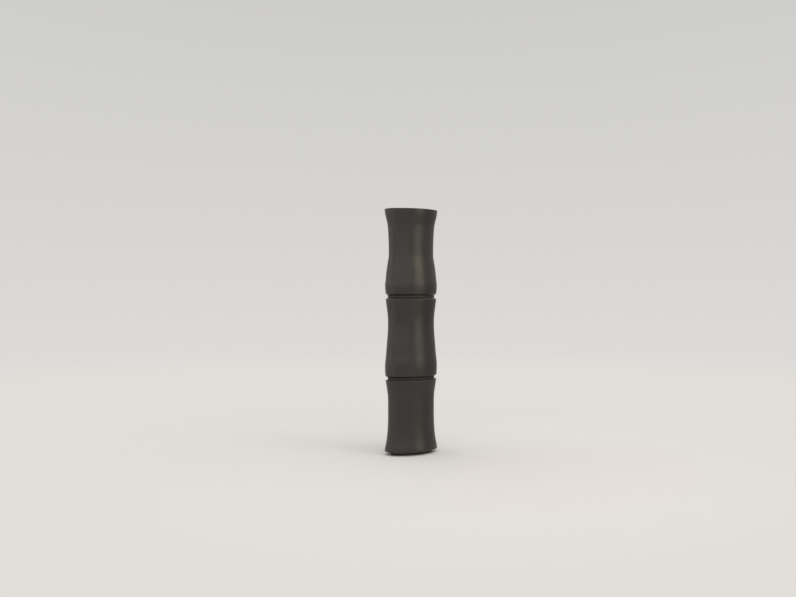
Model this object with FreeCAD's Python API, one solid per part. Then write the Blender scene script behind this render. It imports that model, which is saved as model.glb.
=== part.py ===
# Bamboo vase: three stacked sections of oval tube, joined at two node rings,
# on a weighted foot, with a water liner that lifts out.
# Millimetres. The origin is under the middle of the foot, +Z up, +X along the oval's long way, -Y the front.

import FreeCAD, Part
import math
import os

# The oval of the rim, seen from above. Every other outline lies an even inset inside it.
mouth_length = 83.4
mouth_width = 51.0
end_radius = 18.0

# Heights from the floor up
foot_height = 5.0
bottom_body_height = 100.8
lower_groove_height = 6.4
middle_body_height = 109.0
upper_groove_height = 7.9
top_body_height = 120.9

# The waists' depth inside the rim's outline, the wall, and the rounding of the rim
waist_depth = 6.0
wall = 3.0
rim_round = 0.5

# Outline of each section: share of its height, share of the waist depth
top_outline_shares = (
    (0.0, 0.28), (0.035, 0.19), (0.075, 0.13), (0.11, 0.12), (0.165, 0.245), (0.24, 0.38), (0.33, 0.61),
    (0.40, 0.85), (0.44, 0.97), (0.50, 1.0), (0.58, 0.98), (0.67, 0.92), (0.76, 0.82), (0.81, 0.73),
    (0.87, 0.49), (0.93, 0.19), (0.97, 0.06), (1.0, 0.0),
)
middle_outline_shares = (
    (0.0, 0.18), (0.04, 0.13), (0.12, 0.10), (0.20, 0.18), (0.25, 0.29), (0.32, 0.405), (0.42, 0.535),
    (0.50, 0.665), (0.58, 0.76), (0.67, 0.815), (0.75, 0.785), (0.80, 0.72), (0.86, 0.585), (0.93, 0.42),
    (1.0, 0.27),
)
bottom_outline_shares = (
    (0.0, 0.02), (0.05, 0.13), (0.13, 0.385), (0.21, 0.575), (0.325, 0.735), (0.445, 0.815), (0.59, 0.822),
    (0.73, 0.806), (0.81, 0.725), (0.87, 0.58), (0.93, 0.43), (1.0, 0.23),
)

# Node joints: the groove between two sections and the ring that couples them. The groove's upper
# side slants in under the upper section, and what the ring leaves of its height is the lower shoulder.
groove_depth = 4.8
groove_underside_height = 2.5
ring_edge_height = 2.3
ring_edge_inset = 4.5
ring_edge_bulge = 0.2
shadow_gap_height = 0.2
shadow_gap_inset = 5.6
sleeve_wall = 2.0
sleeve_reach = 9.0
glue_gap = 0.1
band_margin = 2.0
band_slope_height = 4.0

# Foot: the narrow chamfer under the flare, the pad and the base plate
foot_chamfer_width = 1.0
foot_chamfer_height = 0.6
pad_inset = 8.0
pad_round = 0.6
plate_thickness = 4.0
plate_inset = 5.6
rebate_gap = 0.2
ledge_width = 4.2
ledge_height = 4.0

# Screw bosses inside the bottom section
boss_radius = 3.6
boss_height = 13.0
boss_edge_distance = 3.4
boss_angle = 62.0

# Screws from below: four into the bosses, two into the ballast. The shares are of the shank's radius.
shell_screw_radius = 1.5
shell_screw_length = 12.0
ballast_screw_radius = 2.0
ballast_screw_length = 10.0
ballast_screw_spacing = 30.0
head_radius_share = 1.8
head_height_share = 1.0
socket_radius_share = 0.85
socket_depth_share = 0.7
head_gap = 0.25
head_sink = 0.2
shank_gap = 0.2
thread_gap = 0.05
tip_gap = 1.0

# Ballast, and the rubber seat that holds the liner's bottom
ballast_height = 16.0
ballast_gap = 0.6
ballast_chamfer = 1.0
seat_floor = 2.0
seat_wall = 1.6
seat_height = 8.0
seat_gap = 0.4
seat_lead = 0.8

# Water liner
liner_gap = 0.5
liner_wall = 1.0
liner_floor = 1.5
liner_round = 2.0
liner_drop = 20.0
lip_width = 2.0
lip_height = 1.6

# How far a cutting tool runs past the face it cuts, and how near counts as level
cut_overrun = 1.0
level_tolerance = 0.000001

# Levels that follow from the heights
bottom_shoulder_z = foot_height + bottom_body_height
middle_corner_z = bottom_shoulder_z + lower_groove_height
middle_shoulder_z = middle_corner_z + middle_body_height
top_corner_z = middle_shoulder_z + upper_groove_height
vase_height = top_corner_z + top_body_height
ring_stack_height = groove_underside_height + ring_edge_height + shadow_gap_height
lower_shoulder_height = lower_groove_height - ring_stack_height
upper_shoulder_height = upper_groove_height - ring_stack_height
band_height = sleeve_reach + band_margin
plate_z = foot_height - foot_chamfer_height
plate_top_z = plate_z + plate_thickness
ballast_top_z = plate_top_z + ballast_height
liner_z = ballast_top_z + seat_floor
liner_top_z = vase_height - liner_drop

# Insets that follow from the waists: the throat is the narrowest way through the sections
throat_inset = waist_depth + wall
sleeve_inset = throat_inset - sleeve_wall
bore_inset = sleeve_inset - glue_gap
liner_inset = throat_inset + liner_gap
cup_inset = liner_inset - seat_gap
ledge_inset = plate_inset - rebate_gap + ledge_width
ballast_inset = ledge_inset + ballast_gap
boss_inset = pad_inset + boss_edge_distance

centre_line = FreeCAD.Vector(0, 0, 0)
up = FreeCAD.Vector(0, 0, 1)
end_centre = mouth_length / 2 - end_radius


def oval_arcs():
    # The rim's oval as four tangent arcs: centre, radius, first angle and sweep in degrees
    rise = mouth_width / 2 - end_radius
    side_centre = (end_centre**2 - rise**2) / (2 * rise)
    side_radius = side_centre + mouth_width / 2
    turn = math.degrees(math.atan2(side_centre, end_centre))
    half_turn = 180
    return (
        (FreeCAD.Vector(end_centre, 0, 0), end_radius, -turn, 2 * turn),
        (FreeCAD.Vector(0, -side_centre, 0), side_radius, turn, half_turn - 2 * turn),
        (FreeCAD.Vector(-end_centre, 0, 0), end_radius, half_turn - turn, 2 * turn),
        (FreeCAD.Vector(0, side_centre, 0), side_radius, half_turn + turn, half_turn - 2 * turn),
    )


def oval_wall(profile):
    # A wall with the same upright profile all round the oval. profile(radius) gives the edges
    # of its section in the XZ plane for an arc of that radius.
    sectors = []
    for centre, radius, start, sweep in oval_arcs():
        sector = Part.Face(Part.Wire(profile(radius))).revolve(centre_line, up, sweep)
        sector.rotate(centre_line, up, start)
        sector.translate(centre)
        sectors.append(sector)
    return sectors[0].fuse(sectors[1:]).removeSplitter()


def oval_block(inset, low_z, high_z):
    # A solid block with the oval's outline drawn in by one inset
    edges = []
    for centre, radius, start, sweep in oval_arcs():
        circle = Part.Circle(centre, up, radius - inset)
        edges.append(Part.Arc(circle, math.radians(start), math.radians(start + sweep)).toShape())
    block = Part.Face(Part.Wire(edges)).extrude(up * (high_z - low_z))
    block.translate(up * low_z)
    return block


def round_bar(place, radius, low_z, high_z):
    return Part.makeCylinder(radius, high_z - low_z, place + up * low_z)


def edges_at(shape, z):
    # The edges that lie level at one height
    return [edge for edge in shape.Edges if all(abs(end.Z - z) < level_tolerance for end in edge.Vertexes)]


def place_in(radius, inset, z):
    # A point of a wall's section: an inset is counted inwards from the rim's outline
    return FreeCAD.Vector(radius - inset, 0, z)


def straight_edges(points):
    return [Part.LineSegment(start, end).toShape() for start, end in zip(points, points[1:])]


def outline_curve(radius, shares, low_z, high_z):
    # One smooth curve through a section's outline points
    height = high_z - low_z
    curve = Part.BSplineCurve()
    curve.interpolate([place_in(radius, depth * waist_depth, low_z + rise * height) for rise, depth in shares])
    return curve


def parameter_at(curve, z):
    # Where a rising curve passes a height, found by halving
    low = curve.FirstParameter
    high = curve.LastParameter
    halvings = 50
    for _ in range(halvings):
        half_way = (low + high) / 2
        if curve.value(half_way).z < z:
            low = half_way
        else:
            high = half_way
    return half_way


def inner_curve(outline, low_z, high_z):
    # The inner face of the even wall: the outline moved in by the wall, between two heights
    curve = outline.copy()
    curve.translate(FreeCAD.Vector(-wall, 0, 0))
    curve.segment(parameter_at(curve, low_z), parameter_at(curve, high_z))
    return curve


def lower_end(radius, base_z, inside, outline):
    # Section edges at a lower end: slope, bore, end face and slanted underside
    return straight_edges([
        inside.StartPoint,
        place_in(radius, bore_inset, base_z + band_height),
        place_in(radius, bore_inset, base_z),
        place_in(radius, groove_depth, base_z),
        outline.StartPoint,
    ])


def upper_end(radius, top_z, inside, outline):
    # Section edges at an upper end: slanted shoulder, end face, bore and slope
    return straight_edges([
        outline.EndPoint,
        place_in(radius, groove_depth, top_z),
        place_in(radius, bore_inset, top_z),
        place_in(radius, bore_inset, top_z - band_height),
        inside.EndPoint,
    ])


def top_section():
    base_z = top_corner_z - groove_underside_height
    rim_z = vase_height - rim_round
    corner = rim_round * (1 - math.sqrt(0.5))

    def profile(radius):
        outline = outline_curve(radius, top_outline_shares, top_corner_z, rim_z)
        inside = inner_curve(outline, base_z + band_height + band_slope_height, rim_z)
        outer_round = Part.Arc(
            outline.EndPoint,
            place_in(radius, corner, vase_height - corner),
            place_in(radius, rim_round, vase_height),
        )
        inner_round = Part.Arc(
            place_in(radius, wall - rim_round, vase_height),
            place_in(radius, wall - corner, vase_height - corner),
            inside.EndPoint,
        )
        edges = lower_end(radius, base_z, inside, outline)
        edges += [outline.toShape(), outer_round.toShape()]
        edges += straight_edges([outer_round.EndPoint, inner_round.StartPoint])
        return edges + [inner_round.toShape(), inside.toShape()]

    return oval_wall(profile)


def middle_section():
    base_z = middle_corner_z - groove_underside_height
    top_z = middle_shoulder_z + upper_shoulder_height
    band_and_slope = band_height + band_slope_height

    def profile(radius):
        outline = outline_curve(radius, middle_outline_shares, middle_corner_z, middle_shoulder_z)
        inside = inner_curve(outline, base_z + band_and_slope, top_z - band_and_slope)
        edges = lower_end(radius, base_z, inside, outline) + [outline.toShape()]
        return edges + upper_end(radius, top_z, inside, outline) + [inside.toShape()]

    return oval_wall(profile)


def bottom_section():
    # The lower end is stepped for the base plate, which lies level with it, with a ledge that the
    # plate pulls up to
    top_z = bottom_shoulder_z + lower_shoulder_height
    ledge_top_z = plate_top_z + ledge_height
    plate_wall = plate_inset - rebate_gap

    def profile(radius):
        outline = outline_curve(radius, bottom_outline_shares, foot_height, bottom_shoulder_z)
        inside = inner_curve(outline, ledge_top_z + band_slope_height, top_z - band_height - band_slope_height)
        steps = straight_edges([
            inside.StartPoint,
            place_in(radius, ledge_inset, ledge_top_z),
            place_in(radius, ledge_inset, plate_top_z),
            place_in(radius, plate_wall, plate_top_z),
            place_in(radius, plate_wall, plate_z),
            place_in(radius, foot_chamfer_width, plate_z),
            outline.StartPoint,
        ])
        return steps + [outline.toShape()] + upper_end(radius, top_z, inside, outline) + [inside.toShape()]

    bosses = [round_bar(place, boss_radius, plate_top_z, plate_top_z + boss_height) for place in boss_places()]
    hole_top_z = head_seat_z(shell_screw_radius) + shell_screw_length + tip_gap
    holes = [
        round_bar(place, shell_screw_radius + thread_gap, plate_top_z - cut_overrun, hole_top_z)
        for place in boss_places()
    ]
    return oval_wall(profile).fuse(bosses).cut(holes)


def node_ring(corner_z):
    # A sleeve that enters the sections above and below, with a flange whose bulged edge
    # shows in the groove under the upper section's corner
    flange_top_z = corner_z - groove_underside_height
    flange_z = flange_top_z - ring_edge_height
    seat_z = flange_z - shadow_gap_height

    def profile(radius):
        edge = Part.Arc(
            place_in(radius, ring_edge_inset + ring_edge_bulge, flange_z),
            place_in(radius, ring_edge_inset, flange_z + ring_edge_height / 2),
            place_in(radius, ring_edge_inset + ring_edge_bulge, flange_top_z),
        )
        return [edge.toShape()] + straight_edges([
            edge.EndPoint,
            place_in(radius, sleeve_inset, flange_top_z),
            place_in(radius, sleeve_inset, flange_top_z + sleeve_reach),
            place_in(radius, throat_inset, flange_top_z + sleeve_reach),
            place_in(radius, throat_inset, seat_z - sleeve_reach),
            place_in(radius, sleeve_inset, seat_z - sleeve_reach),
            place_in(radius, sleeve_inset, seat_z),
            place_in(radius, shadow_gap_inset, seat_z),
            place_in(radius, shadow_gap_inset, flange_z),
            edge.StartPoint,
        ])

    return oval_wall(profile)


def foot_pad():
    pad = oval_block(pad_inset, 0, plate_z)
    return pad.makeFillet(pad_round, edges_at(pad, 0))


def boss_places():
    # Four bosses round the end arcs, far enough in for the pad to cover the screws' heads
    reach = end_radius - boss_inset
    along = end_centre + reach * math.cos(math.radians(boss_angle))
    across = reach * math.sin(math.radians(boss_angle))
    return [FreeCAD.Vector(end * along, side * across, 0) for end in (-1, 1) for side in (-1, 1)]


def ballast_screw_places():
    return [FreeCAD.Vector(end * ballast_screw_spacing / 2, 0, 0) for end in (-1, 1)]


def head_seat_z(shank_radius):
    # The face inside the base plate that a screw's head pulls against
    return plate_z + head_sink + shank_radius * head_height_share


def base_plate():
    plate = oval_block(plate_inset, plate_z, plate_top_z)
    holes = []
    for places, radius in ((boss_places(), shell_screw_radius), (ballast_screw_places(), ballast_screw_radius)):
        seat_z = head_seat_z(radius)
        for place in places:
            holes.append(round_bar(place, radius * head_radius_share + head_gap, plate_z - cut_overrun, seat_z))
            holes.append(round_bar(place, radius + shank_gap, plate_z, plate_top_z + cut_overrun))
    return plate.cut(holes)


def hexagon(place, radius, low_z, high_z):
    sides = 6
    ring = []
    for i in range(sides + 1):
        angle = math.radians(i * 360 / sides)
        ring.append(place + FreeCAD.Vector(radius * math.cos(angle), radius * math.sin(angle), low_z))
    return Part.Face(Part.makePolygon(ring)).extrude(up * (high_z - low_z))


def screws(places, radius, length):
    # Socket-head screws, heads down
    group = []
    seat_z = head_seat_z(radius)
    head_z = seat_z - radius * head_height_share
    for place in places:
        head = round_bar(place, radius * head_radius_share, head_z, seat_z)
        shank = round_bar(place, radius, head_z, seat_z + length)
        socket_top_z = head_z + radius * socket_depth_share
        socket = hexagon(place, radius * socket_radius_share, head_z - cut_overrun, socket_top_z)
        group.append(head.fuse(shank).removeSplitter().cut(socket))
    return Part.makeCompound(group)


def ballast():
    slab = oval_block(ballast_inset, plate_top_z, ballast_top_z)
    slab = slab.makeChamfer(ballast_chamfer, edges_at(slab, ballast_top_z))
    cuts = [
        round_bar(place, boss_radius + ballast_gap, plate_top_z - cut_overrun, ballast_top_z + cut_overrun)
        for place in boss_places()
    ]
    hole_top_z = head_seat_z(ballast_screw_radius) + ballast_screw_length + tip_gap
    for place in ballast_screw_places():
        cuts.append(round_bar(place, ballast_screw_radius + thread_gap, plate_top_z - cut_overrun, hole_top_z))
    return slab.cut(cuts)


def liner_seat():
    # A shallow cup on the ballast, open at the top for the liner's foot
    top_z = ballast_top_z + seat_height
    seat_inset = cup_inset - seat_wall

    def profile(radius):
        corners = [
            place_in(radius, seat_inset, ballast_top_z),
            place_in(radius, seat_inset, top_z),
            place_in(radius, cup_inset - seat_lead, top_z),
            place_in(radius, cup_inset, top_z - seat_lead),
            place_in(radius, cup_inset, ballast_top_z),
        ]
        return straight_edges(corners + corners[:1])

    floor = oval_block(cup_inset, ballast_top_z, liner_z)
    return oval_wall(profile).fuse(floor).removeSplitter()


def liner():
    # A thin tube with a closed foot and a rolled lip to lift it by
    lip_round = lip_height / 2
    lip_z = liner_top_z - lip_height
    well_inset = liner_inset + liner_wall

    def lip_profile(radius):
        roll = Part.Arc(
            place_in(radius, liner_inset - lip_width + lip_round, lip_z),
            place_in(radius, liner_inset - lip_width, lip_z + lip_round),
            place_in(radius, liner_inset - lip_width + lip_round, liner_top_z),
        )
        return [roll.toShape()] + straight_edges([
            roll.EndPoint,
            place_in(radius, well_inset, liner_top_z),
            place_in(radius, well_inset, lip_z),
            roll.StartPoint,
        ])

    tube = oval_block(liner_inset, liner_z, liner_top_z)
    tube = tube.makeFillet(liner_round, edges_at(tube, liner_z))
    well = oval_block(well_inset, liner_z + liner_floor, liner_top_z + cut_overrun)
    well = well.makeFillet(liner_round / 2, edges_at(well, liner_z + liner_floor))
    return tube.cut(well).fuse(oval_wall(lip_profile)).removeSplitter()


nodes = {
    "top_section": top_section(),
    "middle_section": middle_section(),
    "bottom_section": bottom_section(),
    "upper_node_ring": node_ring(top_corner_z),
    "lower_node_ring": node_ring(middle_corner_z),
    "base_plate": base_plate(),
    "foot_pad": foot_pad(),
    "shell_screws": screws(boss_places(), shell_screw_radius, shell_screw_length),
    "ballast_screws": screws(ballast_screw_places(), ballast_screw_radius, ballast_screw_length),
    "ballast": ballast(),
    "liner_seat": liner_seat(),
    "liner": liner(),
}

os.makedirs("parts", exist_ok=True)
for name, shape in nodes.items():
    shape.exportStep(f"parts/{name}.step")
    print(f"{name}: {len(shape.Solids)} solids, {shape.Volume:.0f} mm3, valid {shape.isValid()}")
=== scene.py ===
# Bamboo vase: the visible shells, rings, liner and foot, their finishes, and a plain studio.
# The frame is in metres, +Z up, +X along the oval's long way, -Y the front.
# Sizes below are millimetres, apart from those of the stage and its panels, which are metres.
import bpy
import bmesh
import math
from mathutils import Matrix, Vector
from mathutils.geometry import interpolate_bezier


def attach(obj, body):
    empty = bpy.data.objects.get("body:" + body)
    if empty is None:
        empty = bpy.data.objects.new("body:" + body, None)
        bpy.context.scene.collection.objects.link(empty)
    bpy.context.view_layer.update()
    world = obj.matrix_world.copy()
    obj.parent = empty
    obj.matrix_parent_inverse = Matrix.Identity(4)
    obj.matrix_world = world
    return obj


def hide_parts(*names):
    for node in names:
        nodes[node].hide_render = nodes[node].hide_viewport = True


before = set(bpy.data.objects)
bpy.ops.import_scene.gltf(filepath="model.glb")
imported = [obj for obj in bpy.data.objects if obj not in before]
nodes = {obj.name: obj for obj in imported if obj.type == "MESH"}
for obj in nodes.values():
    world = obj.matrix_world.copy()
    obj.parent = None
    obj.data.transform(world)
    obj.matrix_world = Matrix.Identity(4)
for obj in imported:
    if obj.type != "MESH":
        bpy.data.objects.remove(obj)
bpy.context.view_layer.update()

mm = 0.001
print("stage: frame loaded,", len(nodes), "nodes")


# The oval plan and the heights that every wall follows

plan = {
    "length": 83.4,
    "width": 51.0,
    "endRadius": 18.0,
    "waistDepth": 6.0,
    "wall": 3.0,
}

heights = {
    "foot": 5.0,
    "bottomTop": 105.8,
    "middleBase": 112.2,
    "middleTop": 221.2,
    "topBase": 229.1,
    "rim": 350.0,
    "lowShoulder": 1.4,   # from the bottom section's upper corner up to its end face
    "highShoulder": 2.9,  # the same on the middle section
    "underside": 2.5,     # from a section's lower corner down to its end face
    "band": 11.0,         # straight bore that holds the ring's sleeve
    "slope": 4.0,         # from the bore out to the even wall
}

insets = {
    "groove": 4.8,
    "bore": 6.9,
    "sleeve": 7.0,
    "throat": 9.0,
}

# How finely the pieces are meshed
meshing = {
    "stepsPerArc": 40,
    "seamReach": 0.002,   # points nearer than this are merged where two sweeps meet
    "lineCuts": 5,        # points between two rows of a section's table
    "turnCuts": 6,        # steps along a rounded corner
    "endMargin": 0.2,     # a wall keeps no point nearer than this to its cut ends
    "edgeSegments": 3,
    "edgeTurn": 24,       # degrees between two faces before their edge is rounded
    "creaseTurn": 35,     # degrees between two faces before their shading is creased
}

# Directions in a profile's plane, in degrees: a profile's points are (inset, height)
inward, upward, outward, downward = 0, 90, 180, 270
fullTurn = 360


def ovalArcs():  # the plan's four tangent arcs: centre, radius, first angle and sweep
    halfLength = plan["length"] / 2
    halfWidth = plan["width"] / 2
    endRadius = plan["endRadius"]
    endCentre = halfLength - endRadius
    rise = halfWidth - endRadius
    sideCentre = (endCentre**2 - rise**2) / (2 * rise)
    sideRadius = sideCentre + halfWidth
    turn = math.atan2(sideCentre, endCentre)
    sideSweep = math.pi - 2 * turn
    return (
        (Vector((endCentre, 0, 0)), endRadius, -turn, 2 * turn),
        (Vector((0, -sideCentre, 0)), sideRadius, turn, sideSweep),
        (Vector((-endCentre, 0, 0)), endRadius, math.pi - turn, 2 * turn),
        (Vector((0, sideCentre, 0)), sideRadius, math.pi + turn, sideSweep),
    )


def spinOval(bm, profile, closed=True):  # sweeps a profile of (inset, height) points round the oval
    for centre, radius, start, sweep in ovalArcs():
        turned = Matrix.Rotation(start, 3, "Z")
        places = [centre + turned @ Vector((radius - inset, 0, z)) for inset, z in profile]
        points = [bm.verts.new(place * mm) for place in places]
        following = points[1:] + points[:1] if closed else points[1:]
        lines = [bm.edges.new(pair) for pair in zip(points, following)]
        bmesh.ops.spin(
            bm,
            geom=points + lines,
            cent=centre * mm,
            axis=(0, 0, 1),
            angle=sweep,
            steps=meshing["stepsPerArc"],
        )
    bmesh.ops.remove_doubles(bm, verts=bm.verts, dist=meshing["seamReach"] * mm)


def softenEdges(bm, width):  # rounds the edges that turn sharply
    least = math.radians(meshing["edgeTurn"])
    sharp = [edge for edge in bm.edges if edge.is_manifold and edge.calc_face_angle(0) > least]
    bmesh.ops.bevel(
        bm,
        geom=sharp,
        offset=width * mm,
        segments=meshing["edgeSegments"],
        profile=0.5,
        affect="EDGES",
        material=-1,
        clamp_overlap=True,
    )


def finishPiece(name, bm, body, replaced, material):
    bmesh.ops.recalc_face_normals(bm, faces=bm.faces)
    for face in bm.faces:
        face.smooth = True
    mesh = bpy.data.meshes.new(name)
    bm.to_mesh(mesh)
    bm.free()
    mesh.set_sharp_from_angle(angle=math.radians(meshing["creaseTurn"]))
    mesh.materials.append(material)
    piece = bpy.data.objects.new(name, mesh)
    bpy.context.scene.collection.objects.link(piece)
    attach(piece, body)
    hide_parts(replaced)
    print("piece:", name, len(mesh.polygons), "faces")


def smoothRun(points, cuts):  # a smooth line through (inset, height) points that rise all the way
    pairs = zip(points, points[1:])
    spans = [(after[0] - before[0], after[1] - before[1]) for before, after in pairs]
    slopes = [dx / dz for dx, dz in spans]
    leans = [slopes[0]]
    for i in range(1, len(spans)):
        below, above = spans[i - 1][1], spans[i][1]
        leans.append((slopes[i - 1] * above + slopes[i] * below) / (below + above))
    leans.append(slopes[-1])
    line = []
    for i, span in enumerate(spans):
        start = Vector(points[i])
        end = Vector(points[i + 1])
        third = span[1] / 3
        outHandle = start + Vector((leans[i] * third, third))
        inHandle = end - Vector((leans[i + 1] * third, third))
        line += interpolate_bezier(start, outHandle, inHandle, end, cuts + 1)[:-1]
    line.append(Vector(points[-1]))
    return [(point.x, point.y) for point in line]


def stretchOf(line, low, high):  # the part of a rising line between two heights
    def insetAt(z):
        for (first, lowZ), (second, highZ) in zip(line, line[1:]):
            if lowZ <= z <= highZ:
                return first + (second - first) * (z - lowZ) / (highZ - lowZ)
        return line[-1][0]

    margin = meshing["endMargin"]
    inside = [(inset, z) for inset, z in line if low + margin < z < high - margin]
    return [(insetAt(low), low)] + inside + [(insetAt(high), high)]


def roundTurn(centre, radius, first, last, cuts=meshing["turnCuts"]):  # an arc in the profile's plane
    places = []
    for i in range(cuts + 1):
        angle = math.radians(first + (last - first) * i / cuts)
        places.append((centre[0] + radius * math.cos(angle), centre[1] + radius * math.sin(angle)))
    return places


def bodyLine(shares, low, high):  # a section's outline from its table of shares
    reach = high - low
    points = [(depth * plan["waistDepth"], low + rise * reach) for rise, depth in shares]
    return smoothRun(points, meshing["lineCuts"])


def wallInside(outline, low, high):
    return stretchOf([(inset + plan["wall"], z) for inset, z in outline], low, high)


def evenAbove(cornerZ):  # where the even wall starts, above a section's lower end
    return cornerZ - heights["underside"] + heights["band"] + heights["slope"]


def evenBelow(topZ):  # where the even wall stops, below a section's upper end
    return topZ - heights["band"] - heights["slope"]


def lowerEnd(cornerZ):  # bore and end face, from the inside out, up to the slanted underside
    baseZ = cornerZ - heights["underside"]
    return [
        (insets["bore"], baseZ + heights["band"]),
        (insets["bore"], baseZ),
        (insets["groove"], baseZ),
    ]


def upperEnd(topZ):  # slanted shoulder's top, end face and bore, from the outside in
    return [
        (insets["groove"], topZ),
        (insets["bore"], topZ),
        (insets["bore"], topZ - heights["band"]),
    ]


# Wiring of the finishes: a Strand is one socket that takes ordinary arithmetic

class Strand:
    def __init__(self, finish, socket):
        self.finish = finish
        self.socket = socket

    def reckon(self, operation, first, second):
        sockets = {"Value": first, "Value_001": second}
        return self.finish.add("ShaderNodeMath", {"operation": operation}, sockets)["Value"]

    def __add__(self, other):
        return self.reckon("ADD", self, other)

    def __sub__(self, other):
        return self.reckon("SUBTRACT", self, other)

    def __rsub__(self, other):
        return self.reckon("SUBTRACT", other, self)

    def __mul__(self, other):
        return self.reckon("MULTIPLY", self, other)

    def __pow__(self, other):
        return self.reckon("POWER", self, other)

    __radd__ = __add__
    __rmul__ = __mul__


class Finish:
    def __init__(self, name):
        self.material = bpy.data.materials.new(name)
        self.material.use_nodes = True
        self.tree = self.material.node_tree
        self.tree.nodes.clear()

    def add(self, kind, settings=None, sockets=None):
        node = self.tree.nodes.new(kind)
        for key, value in (settings or {}).items():
            if key == "stops":
                ramp = node.color_ramp
                while len(ramp.elements) < len(value):
                    ramp.elements.new(1.0)  # its place is set just below
                for element, (position, colour) in zip(ramp.elements, value):
                    element.position = position
                    element.color = colour
            else:
                setattr(node, key, value)
        inputs = {socket.identifier: socket for socket in node.inputs}
        for key, value in (sockets or {}).items():
            if isinstance(value, Strand):
                self.tree.links.new(value.socket, inputs[key])
            else:
                inputs[key].default_value = value
        return {socket.identifier: Strand(self, socket) for socket in node.outputs}

    def place(self, scale=(1, 1, 1)):  # the point's place on the object, in metres
        here = self.add("ShaderNodeTexCoord")["Object"]
        return self.add("ShaderNodeMapping", None, {"Vector": here, "Scale": scale})["Vector"]

    def noise(self, where, size, detail, rough=0.5):  # 0 to 1, features about size millimetres across
        sockets = {"Vector": where, "Scale": 1 / (size * mm), "Detail": detail, "Roughness": rough}
        return self.add("ShaderNodeTexNoise", None, sockets)["Fac"]

    def blend(self, share, first, second):
        sockets = {"Factor_Float": share, "A_Color": first, "B_Color": second}
        return self.add("ShaderNodeMix", {"data_type": "RGBA"}, sockets)["Result_Color"]

    def step(self, value, low, high):  # 0 below low, 1 above high, and smooth between
        sockets = {"Value": value, "From Min": low, "From Max": high}
        return self.add("ShaderNodeMapRange", {"interpolation_type": "SMOOTHSTEP"}, sockets)["Result"]

    def bump(self, height, depth):  # depth in millimetres
        return self.add("ShaderNodeBump", None, {"Height": height, "Distance": depth * mm})["Normal"]

    def surface(self, sockets):  # the finished material, from what its Principled shader is given
        shader = self.add("ShaderNodeBsdfPrincipled", None, sockets)["BSDF"]
        self.add("ShaderNodeOutputMaterial", None, {"Surface": shader})
        return self.material


def rgb(red, green, blue):
    return (red, green, blue, 1.0)


def sway(value, spread):  # a value from 0 to 1, as a change of half the spread to either side
    return (value - 0.5) * spread


# Satin charcoal lacquer on moulded resin
# A noise is the size of its features, its levels of detail and, in some, how strong the finer levels are

lacquer = {
    "colour": rgb(0.0190, 0.0166, 0.0138),
    "deepColour": rgb(0.0158, 0.0138, 0.0114),
    "mottle": (22.0, 4.0),
    "cloud": (4.4, 3.0),
    "mottleShare": 0.7,            # the rest of the blotches is the finer cloud
    "mottleReach": (0.3, 0.7),
    "dustColour": rgb(0.056, 0.053, 0.048),   # dust on upward faces such as the grooves' shoulders, and painted light that lightens their shade
    "dustReach": (0.6, 0.9),       # how much of a face's normal is upward where the dust and painted light start, and are full
    "dustAndLightEven": 0.6,               # the rest of the dust and painted light follows the cloud
    "dustRoughness": 0.15,
    "roughness": 0.29,
    "roughnessSpread": 0.05,
    "peel": (1.1, 2.0),
    "peelDepth": 0.012,
    "grain": (0.22, 2.0),
    "grainDepth": 0.003,
    "grainSpread": 0.06,
    "refraction": 1.5,
}

# On the rings it is rougher and has smaller blotches
ringLacquer = dict(lacquer, roughness=0.46, mottle=(9.0, 4.0), cloud=(1.8, 3.0))


def lacquerFinish(name, values):
    finish = Finish(name)
    where = finish.place()
    mottle = finish.noise(where, *values["mottle"])
    cloud = finish.noise(where, *values["cloud"])
    peel = finish.noise(where, *values["peel"])
    grain = finish.noise(where, *values["grain"])
    blotches = mottle * values["mottleShare"] + cloud * (1 - values["mottleShare"])
    share = finish.step(blotches, *values["mottleReach"])
    colour = finish.blend(share, values["deepColour"], values["colour"])
    # Upward faces are lighter: dust, and painted light that lightens the shade in the grooves
    normal = finish.add("ShaderNodeNewGeometry")["Normal"]
    skyward = finish.add("ShaderNodeSeparateXYZ", None, {"Vector": normal})["Z"]
    dustAndLightAmount = values["dustAndLightEven"] + cloud * (1 - values["dustAndLightEven"])
    dust = finish.step(skyward, *values["dustReach"]) * dustAndLightAmount
    roughness = values["roughness"] + sway(mottle, values["roughnessSpread"])
    roughness += sway(grain, values["grainSpread"]) + dust * values["dustRoughness"]
    height = peel * (values["peelDepth"] / values["grainDepth"]) + grain
    return finish.surface({
        "Base Color": finish.blend(dust, colour, values["dustColour"]),
        "Roughness": roughness,
        "Normal": finish.bump(height, values["grainDepth"]),
        "IOR": values["refraction"],
    })


lacquerMaterial = lacquerFinish("charcoalLacquer", lacquer)
ringMaterial = lacquerFinish("ringLacquer", ringLacquer)
print("stage: lacquer mixed")


# The three sections
# A row of shares is a height, from 0 at the lower corner to 1 at the upper, and the waist's depth there

topSection = {
    "shares": (
        (0.0, 0.28), (0.035, 0.19), (0.075, 0.13), (0.11, 0.12), (0.165, 0.245), (0.24, 0.38),
        (0.33, 0.61), (0.40, 0.85), (0.44, 0.97), (0.50, 1.0), (0.58, 0.98), (0.67, 0.92),
        (0.76, 0.82), (0.81, 0.73), (0.87, 0.49), (0.93, 0.19), (0.97, 0.06), (1.0, 0.0),
    ),
    "rimRound": 0.5,
    "edgeRound": 0.5,
}

middleSection = {
    "shares": (
        (0.0, 0.18), (0.04, 0.13), (0.12, 0.10), (0.20, 0.18), (0.25, 0.29), (0.32, 0.405),
        (0.42, 0.535), (0.50, 0.665), (0.58, 0.76), (0.67, 0.815), (0.75, 0.785), (0.80, 0.72),
        (0.86, 0.585), (0.93, 0.42), (1.0, 0.27),
    ),
    "edgeRound": 0.5,
}

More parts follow.
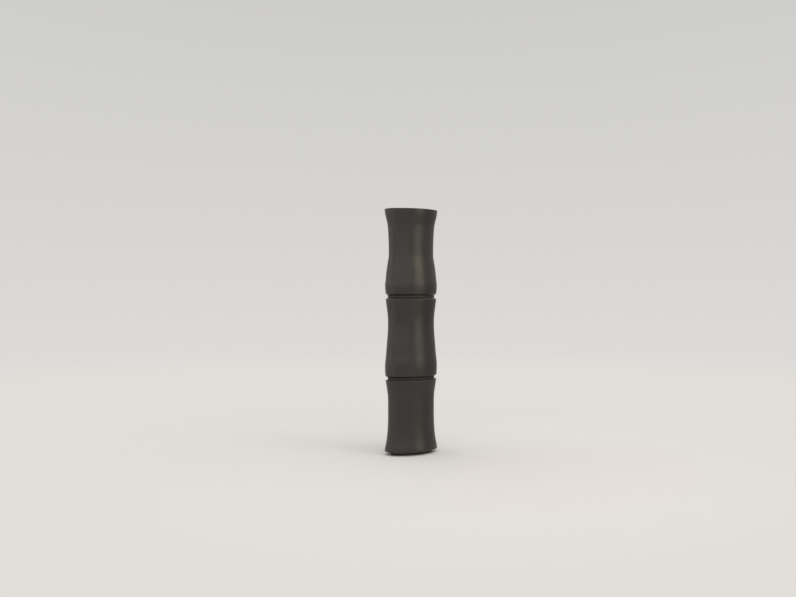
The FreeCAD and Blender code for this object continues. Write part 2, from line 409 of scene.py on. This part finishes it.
bottomSection = {
    "shares": (
        (0.0, 0.02), (0.05, 0.13), (0.13, 0.385), (0.21, 0.575), (0.325, 0.735), (0.445, 0.815),
        (0.59, 0.822), (0.73, 0.806), (0.81, 0.725), (0.87, 0.58), (0.93, 0.43), (1.0, 0.23),
    ),
    "chamferWidth": 1.0,
    "baseZ": 4.4,
    "plateWall": 5.4,
    "ledgeZ": 8.4,
    "ledgeTop": 12.4,
    "ledgeInset": 9.6,
    "edgeRound": 0.4,
}


def makeShell(name, replaced, profile, edgeRound):
    bm = bmesh.new()
    spinOval(bm, profile)
    softenEdges(bm, edgeRound)
    finishPiece(name, bm, "vase", replaced, lacquerMaterial)


def makeTopSection(values):
    cornerZ, edge = heights["topBase"], values["rimRound"]
    rimZ = heights["rim"] - edge
    outline = bodyLine(values["shares"], cornerZ, rimZ)
    inside = wallInside(outline, evenAbove(cornerZ), rimZ)
    rim = roundTurn((edge, rimZ), edge, outward, upward)
    rim += roundTurn((plan["wall"] - edge, rimZ), edge, upward, inward)[:-1]
    profile = outline[:-1] + rim + inside[::-1] + lowerEnd(cornerZ)
    makeShell("topShell", "top_section", profile, values["edgeRound"])


def makeMiddleSection(values):
    cornerZ = heights["middleBase"]
    outline = bodyLine(values["shares"], cornerZ, heights["middleTop"])
    topZ = heights["middleTop"] + heights["highShoulder"]
    inside = wallInside(outline, evenAbove(cornerZ), evenBelow(topZ))
    profile = outline + upperEnd(topZ) + inside[::-1] + lowerEnd(cornerZ)
    makeShell("middleShell", "middle_section", profile, values["edgeRound"])


def makeBottomSection(values):
    outline = bodyLine(values["shares"], heights["foot"], heights["bottomTop"])
    topZ = heights["bottomTop"] + heights["lowShoulder"]
    inside = wallInside(outline, values["ledgeTop"] + heights["slope"], evenBelow(topZ))
    steps = [
        (values["ledgeInset"], values["ledgeTop"]),
        (values["ledgeInset"], values["ledgeZ"]),
        (values["plateWall"], values["ledgeZ"]),
        (values["plateWall"], values["baseZ"]),
        (values["chamferWidth"], values["baseZ"]),
    ]
    profile = outline + upperEnd(topZ) + inside[::-1] + steps
    makeShell("bottomShell", "bottom_section", profile, values["edgeRound"])


makeTopSection(topSection)
makeMiddleSection(middleSection)
makeBottomSection(bottomSection)
print("stage: sections made")


# The rings that couple the sections

nodeRing = {
    "edgeInset": 4.5,
    "edgeHeight": 2.3,
    "edgeBulge": 0.2,
    "bulgeCuts": 8,
    "gapHeight": 0.2,
    "gapInset": 5.6,
    "sleeveReach": 9.0,
    "edgeRound": 0.2,
}


def makeNodeRing(name, replaced, cornerZ, values):
    flangeTop = cornerZ - heights["underside"]
    flangeZ = flangeTop - values["edgeHeight"]
    seatZ = flangeZ - values["gapHeight"]
    half = values["edgeHeight"] / 2
    bulgeRadius = (half**2 + values["edgeBulge"]**2) / (2 * values["edgeBulge"])
    spread = math.degrees(math.asin(half / bulgeRadius))
    centre = (values["edgeInset"] + bulgeRadius, flangeZ + half)
    profile = roundTurn(centre, bulgeRadius, outward + spread, outward - spread, values["bulgeCuts"])
    profile += [
        (insets["sleeve"], flangeTop),
        (insets["sleeve"], flangeTop + values["sleeveReach"]),
        (insets["throat"], flangeTop + values["sleeveReach"]),
        (insets["throat"], seatZ - values["sleeveReach"]),
        (insets["sleeve"], seatZ - values["sleeveReach"]),
        (insets["sleeve"], seatZ),
        (values["gapInset"], seatZ),
        (values["gapInset"], flangeZ),
    ]
    bm = bmesh.new()
    spinOval(bm, profile)
    softenEdges(bm, values["edgeRound"])
    finishPiece(name, bm, "vase", replaced, ringMaterial)


makeNodeRing("upperRing", "upper_node_ring", heights["topBase"], nodeRing)
makeNodeRing("lowerRing", "lower_node_ring", heights["middleBase"], nodeRing)
print("stage: rings made")


# Rubber foot pad and the seat inside

rubber = {
    "colour": rgb(0.036, 0.0345, 0.032),
    "dustColour": rgb(0.065, 0.062, 0.057),
    "dust": (12.0, 4.0),
    "dustReach": (0.45, 0.8),
    "dustShare": 0.5,
    "dustRoughness": 0.12,
    "grain": (0.35, 3.0, 0.6),
    "grainDepth": 0.02,
    "roughness": 0.78,
}

footPad = {
    "inset": 8.0,
    "thickness": 4.4,
    "edgeRound": 0.6,
}


def rubberFinish(name, values):
    finish = Finish(name)
    where = finish.place()
    grain = finish.noise(where, *values["grain"])
    dust = finish.step(finish.noise(where, *values["dust"]), *values["dustReach"])
    share = dust * values["dustShare"]
    return finish.surface({
        "Base Color": finish.blend(share, values["colour"], values["dustColour"]),
        "Roughness": values["roughness"] + dust * values["dustRoughness"],
        "Normal": finish.bump(grain, values["grainDepth"]),
    })


rubberMaterial = rubberFinish("footRubber", rubber)


def capEnds(bm):  # closes each open loop with one flat face
    rims = [edge for edge in bm.edges if edge.is_boundary]
    bmesh.ops.holes_fill(bm, edges=rims, sides=0)


def makeFootPad(values):
    inset, edge = values["inset"], values["edgeRound"]
    profile = roundTurn((inset + edge, edge), edge, downward, outward)
    profile += [(inset, values["thickness"])]
    bm = bmesh.new()
    spinOval(bm, profile, closed=False)
    capEnds(bm)
    finishPiece("footPad", bm, "vase", "foot_pad", rubberMaterial)


makeFootPad(footPad)
print("stage: foot made")


# Water liner, a brushed steel tube with a rolled lip

steel = {
    "colour": rgb(0.52, 0.51, 0.495),
    "darkColour": rgb(0.42, 0.41, 0.395),
    "lines": (14.0, 3.0, 0.6),   # their size is how long the brushed lines are
    "lineHeight": 0.12,
    "lineDepth": 0.004,
    "lineSpread": 0.14,
    "cloud": (18.0, 3.0),
    "cloudSpread": 0.08,
    "roughness": 0.30,
}

waterLiner = {
    "inset": 9.5,
    "wall": 1.0,
    "floor": 1.5,
    "footRound": 2.0,
    "baseZ": 26.4,
    "topZ": 330.0,
    "lipWidth": 2.0,
    "lipHeight": 1.6,
    "lipCuts": 10,
    "innerRound": 0.3,
    "innerCuts": 3,
}


def brushedFinish(name, values):  # fine lines that run round the tube
    finish = Finish(name)
    lineLength = values["lines"][0]
    squeezed = finish.place((1, 1, lineLength / values["lineHeight"]))
    lines = finish.noise(squeezed, *values["lines"])
    cloud = finish.noise(finish.place(), *values["cloud"])
    roughness = values["roughness"] + sway(lines, values["lineSpread"])
    return finish.surface({
        "Base Color": finish.blend(lines, values["darkColour"], values["colour"]),
        "Metallic": 1.0,
        "Roughness": roughness + sway(cloud, values["cloudSpread"]),
        "Normal": finish.bump(lines, values["lineDepth"]),
    })


steelMaterial = brushedFinish("linerSteel", steel)


def makeLiner(values):
    outer, foot = values["inset"], values["footRound"]
    well = outer + values["wall"]
    wellRound = foot / 2
    lip = values["lipHeight"] / 2
    lipInset = outer - values["lipWidth"] + lip
    inner = values["innerRound"]
    baseZ, topZ = values["baseZ"], values["topZ"]
    floorZ = baseZ + values["floor"]
    profile = roundTurn((outer + foot, baseZ + foot), foot, downward, outward)
    profile += [(outer, topZ - values["lipHeight"])]
    profile += roundTurn((lipInset, topZ - lip), lip, downward, upward, values["lipCuts"])
    profile += roundTurn((well - inner, topZ - inner), inner, upward, inward, values["innerCuts"])
    profile += roundTurn((well + wellRound, floorZ + wellRound), wellRound, outward, downward)
    bm = bmesh.new()
    spinOval(bm, profile, closed=False)
    capEnds(bm)
    finishPiece("waterLiner", bm, "liner", "liner", steelMaterial)


makeLiner(waterLiner)
print("stage: liner made")


# Finishes of the pieces inside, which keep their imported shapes

innerLooks = {
    "zincSteel": {
        "colour": rgb(0.56, 0.57, 0.56),
        "tint": rgb(0.50, 0.49, 0.43),
        "metallic": 1.0,
        "roughness": 0.34,
        "pitSize": 1.6,
        "pitDepth": 0.006,
    },
    "castIron": {
        "colour": rgb(0.055, 0.055, 0.058),
        "tint": rgb(0.035, 0.033, 0.032),
        "metallic": 0.6,
        "roughness": 0.62,
        "pitSize": 0.9,
        "pitDepth": 0.12,
    },
    "blackResin": {
        "colour": rgb(0.018, 0.018, 0.018),
        "tint": rgb(0.013, 0.013, 0.013),
        "metallic": 0.0,
        "roughness": 0.52,
        "pitSize": 0.5,
        "pitDepth": 0.03,
    },
}

# What these finishes share
innerCommon = {
    "pitDetail": (4.0, 0.6),
    "pitSpread": 0.2,
    "tintSize": 6,           # in sizes of a pit
    "tintDetail": 3.0,
    "tintReach": (0.35, 0.65),
}


def innerFinish(name):
    values = dict(innerLooks[name], **innerCommon)
    finish = Finish(name)
    where = finish.place()
    pits = finish.noise(where, values["pitSize"], *values["pitDetail"])
    cloud = finish.noise(where, values["pitSize"] * values["tintSize"], values["tintDetail"])
    share = finish.step(cloud, *values["tintReach"])
    return finish.surface({
        "Base Color": finish.blend(share, values["colour"], values["tint"]),
        "Metallic": values["metallic"],
        "Roughness": values["roughness"] + sway(pits, values["pitSpread"]),
        "Normal": finish.bump(pits, values["pitDepth"]),
    })


zincMaterial = innerFinish("zincSteel")
innerMaterials = {
    "base_plate": innerFinish("blackResin"),
    "ballast": innerFinish("castIron"),
    "liner_seat": rubberMaterial,
    "shell_screws": zincMaterial,
    "ballast_screws": zincMaterial,
}

for name, material in innerMaterials.items():
    for materialSlot in nodes[name].material_slots:
        materialSlot.material = material
print("stage: inner pieces finished")


# Studio: a pale floor that curves up all round, soft panels, an even sky

cameraView = {
    "turn": -32.1,        # degrees round the vase from the front
    "distance": 1195.0,   # millimetres, as are the height, lens and sensor
    "height": 229.4,
    "panLeft": 0.912,     # degrees, as is the tilt
    "tiltDown": 0.335,
    "lens": 37.49,
    "sensor": 36.0,
}

studio = {
    "floorRadius": 1.35,
    "coveRadius": 0.5,
    "coveCuts": 16,
    "roundSteps": 96,        # round the whole stage
    "seamReach": 0.0001,
    "wallHeight": 1.45,
    "floorColour": rgb(0.740, 0.727, 0.714),
    "farColour": rgb(0.768, 0.758, 0.750),   # behind the vase, where less of the light falls
    "farReach": (-0.05, 0.25),   # how far behind the vase that colour starts, and is full
    "wallTones": (           # share of the tone height, colour
        (0.0, rgb(0.755, 0.73, 0.695)),
        (0.03, rgb(0.722, 0.708, 0.69)),
        (0.16, rgb(0.70, 0.69, 0.68)),
        (0.33, rgb(0.68, 0.67, 0.655)),
        (0.75, rgb(0.638, 0.632, 0.62)),
        (1.0, rgb(0.612, 0.606, 0.594)),
    ),
    "toneHeight": 1.3,
    "litRadius": 0.25,       # inside this the floor shows the light and shadow that fall on it
    "evenRadius": 0.60,      # outside this it shows its even tone
    "mirrorReach": 0.12,     # how much nearer the even tone starts in the vase's reflections
    "shadeTurn": 75.0,       # degrees from the front to the middle of the side that reflects greyer
    "shadeEdge": (0.75, 0.95),   # cosines of the turns from there where it starts, and is full
    "shadeShare": 0.5,
    "shadeEase": 0.3,        # how much of that share is lost higher up
    "shadeHeights": (0.02, 0.4),
    "liftTurn": -85.0,       # and to the middle of the side that reflects lighter
    "liftEdge": (0.70, 0.94),
    "liftShare": 0.4,
    "skyColour": rgb(1.0, 0.99, 0.97),
    "skyStrength": 0.90,
    "aimHeight": 0.17,       # where on the vase the panels point
}


def stageFinish(values):  # near the vase plain paper, and further out its tone as an even glow
    finish = Finish("palePaper")
    where = finish.add("ShaderNodeSeparateXYZ", None, {"Vector": finish.place()})
    path = finish.add("ShaderNodeLightPath")
    seen = path["Is Camera Ray"] + path["Is Glossy Ray"] + path["Is Transmission Ray"]
    mirrored = 1 - path["Is Camera Ray"]
    away = (where["X"] * where["X"] + where["Y"] * where["Y"]) ** 0.5

    def toward(turn):  # how far the place lies toward that turn
        turn = math.radians(turn)
        return where["X"] * math.sin(turn) - where["Y"] * math.cos(turn)

    def facing(turn, edge):  # one on the side of the room at that turn, fading out between two cosines
        return finish.step(toward(turn) * away ** -1, *edge)

    behind = 0 - toward(cameraView["turn"])
    far = finish.step(behind, *values["farReach"])
    ground = finish.blend(far, values["floorColour"], values["farColour"])
    paper = finish.add("ShaderNodeBsdfDiffuse", None, {"Color": ground})["BSDF"]

    share = where["Z"] * (1 / values["toneHeight"])
    tone = finish.add("ShaderNodeValToRGB", {"stops": values["wallTones"]}, {"Fac": share})["Color"]
    risen = finish.step(where["Z"], *values["shadeHeights"])
    strength = values["shadeShare"] - values["shadeEase"] * risen
    shade = facing(values["shadeTurn"], values["shadeEdge"]) * strength
    lift = facing(values["liftTurn"], values["liftEdge"]) * values["liftShare"]
    sockets = {"Color": tone, "Strength": 1 + (lift - shade) * mirrored}
    glow = finish.add("ShaderNodeEmission", None, sockets)["Emission"]

    nearer = away + mirrored * values["mirrorReach"]
    even = finish.step(nearer, values["litRadius"], values["evenRadius"])
    sockets = {"Fac": seen * even, "Shader": paper, "Shader_001": glow}
    both = finish.add("ShaderNodeMixShader", None, sockets)["Shader"]
    finish.add("ShaderNodeOutputMaterial", None, {"Surface": both})
    return finish.material


def makeStage(values):
    radius, cove = values["floorRadius"], values["coveRadius"]
    bm = bmesh.new()
    line = [(0, 0), (radius / 2, 0)]
    line += roundTurn((radius, cove), cove, downward, fullTurn, values["coveCuts"])
    line += [(radius + cove, values["wallHeight"])]
    points = [bm.verts.new((reach, 0, z)) for reach, z in line]
    lines = [bm.edges.new(pair) for pair in zip(points, points[1:])]
    bmesh.ops.spin(
        bm,
        geom=points + lines,
        cent=(0, 0, 0),
        axis=(0, 0, 1),
        angle=2 * math.pi,
        steps=values["roundSteps"],
        use_merge=True,
    )
    bmesh.ops.remove_doubles(bm, verts=bm.verts, dist=values["seamReach"])
    bmesh.ops.recalc_face_normals(bm, faces=bm.faces)
    for face in bm.faces:
        face.smooth = True
    mesh = bpy.data.meshes.new("studioFloor")
    bm.to_mesh(mesh)
    bm.free()
    mesh.materials.append(stageFinish(values))
    floor = bpy.data.objects.new("studioFloor", mesh)
    bpy.context.scene.collection.objects.link(floor)


makeStage(studio)

sky = bpy.data.worlds.new("sky")
bpy.context.scene.world = sky
sky.use_nodes = True
skyNode = sky.node_tree.nodes["Background"]
skyNode.inputs["Color"].default_value = studio["skyColour"]
skyNode.inputs["Strength"].default_value = studio["skyStrength"]

warmLight = (1.0, 0.87, 0.66)
plainLight = (1.0, 0.99, 0.97)
softLight = (1.0, 0.98, 0.95)

# A panel's turn is degrees to the right of the camera, and its rise degrees above the floor
panels = {
    "rightPanel": {
        "turn": 62.8,
        "rise": 24,
        "distance": 1.6,
        "size": (0.76, 0.82),
        "power": 3.75,
        "colour": warmLight,
    },
    "lowPanel": {
        "turn": 62.8,
        "rise": 2,
        "distance": 1.4,
        "size": (0.67, 0.38),
        "power": 0.70,
        "colour": warmLight,
    },
    "frontPanel": {
        "turn": 3,
        "rise": 22,
        "distance": 1.6,
        "size": (3.3, 1.1),
        "power": 6.0,
        "colour": plainLight,
    },
    "leftPanel": {
        "turn": -82,
        "rise": 19,
        "distance": 1.6,
        "size": (1.7, 1.0),
        "power": 2.7,
        "colour": softLight,
    },
    "topPanel": {
        "turn": -20,
        "rise": 80,
        "distance": 1.3,
        "size": (1.2, 1.2),
        "power": 2.4,
        "colour": plainLight,
    },
}


def makePanel(name, values):  # a soft panel aimed at the vase
    light = bpy.data.lights.new(name, "AREA")
    light.shape = "RECTANGLE"
    light.size, light.size_y = values["size"]
    light.energy = values["power"]
    light.color = values["colour"]
    panel = bpy.data.objects.new(name, light)
    turn = math.radians(cameraView["turn"] + values["turn"])
    rise = math.radians(values["rise"])
    level = math.cos(rise)
    back = Vector((math.sin(turn) * level, -math.cos(turn) * level, math.sin(rise)))
    aim = Vector((0, 0, studio["aimHeight"]))
    panel.location = aim + back * values["distance"]
    panel.rotation_mode = "QUATERNION"
    panel.rotation_quaternion = back.to_track_quat("Z", "Y")
    panel.visible_camera = False
    bpy.context.scene.collection.objects.link(panel)


for name, values in panels.items():
    makePanel(name, values)
print("stage: studio lit")


def makeCamera(values):
    turn = math.radians(values["turn"])
    away = Vector((math.sin(turn), -math.cos(turn), 0))
    rightwards = Vector((math.cos(turn), math.sin(turn), 0))
    pan, tilt = math.radians(values["panLeft"]), math.radians(values["tiltDown"])
    level = -away * math.cos(pan) - rightwards * math.sin(pan)
    look = level * math.cos(tilt) - Vector((0, 0, 1)) * math.sin(tilt)
    data = bpy.data.cameras.new("photoCamera")
    data.sensor_width = values["sensor"]
    data.lens = values["lens"]
    camera = bpy.data.objects.new("photoCamera", data)
    camera.location = away * values["distance"] * mm + Vector((0, 0, values["height"] * mm))
    camera.rotation_mode = "QUATERNION"
    camera.rotation_quaternion = look.to_track_quat("-Z", "Y")
    bpy.context.scene.collection.objects.link(camera)
    bpy.context.scene.camera = camera


makeCamera(cameraView)
bpy.context.scene.view_settings.view_transform = "Standard"
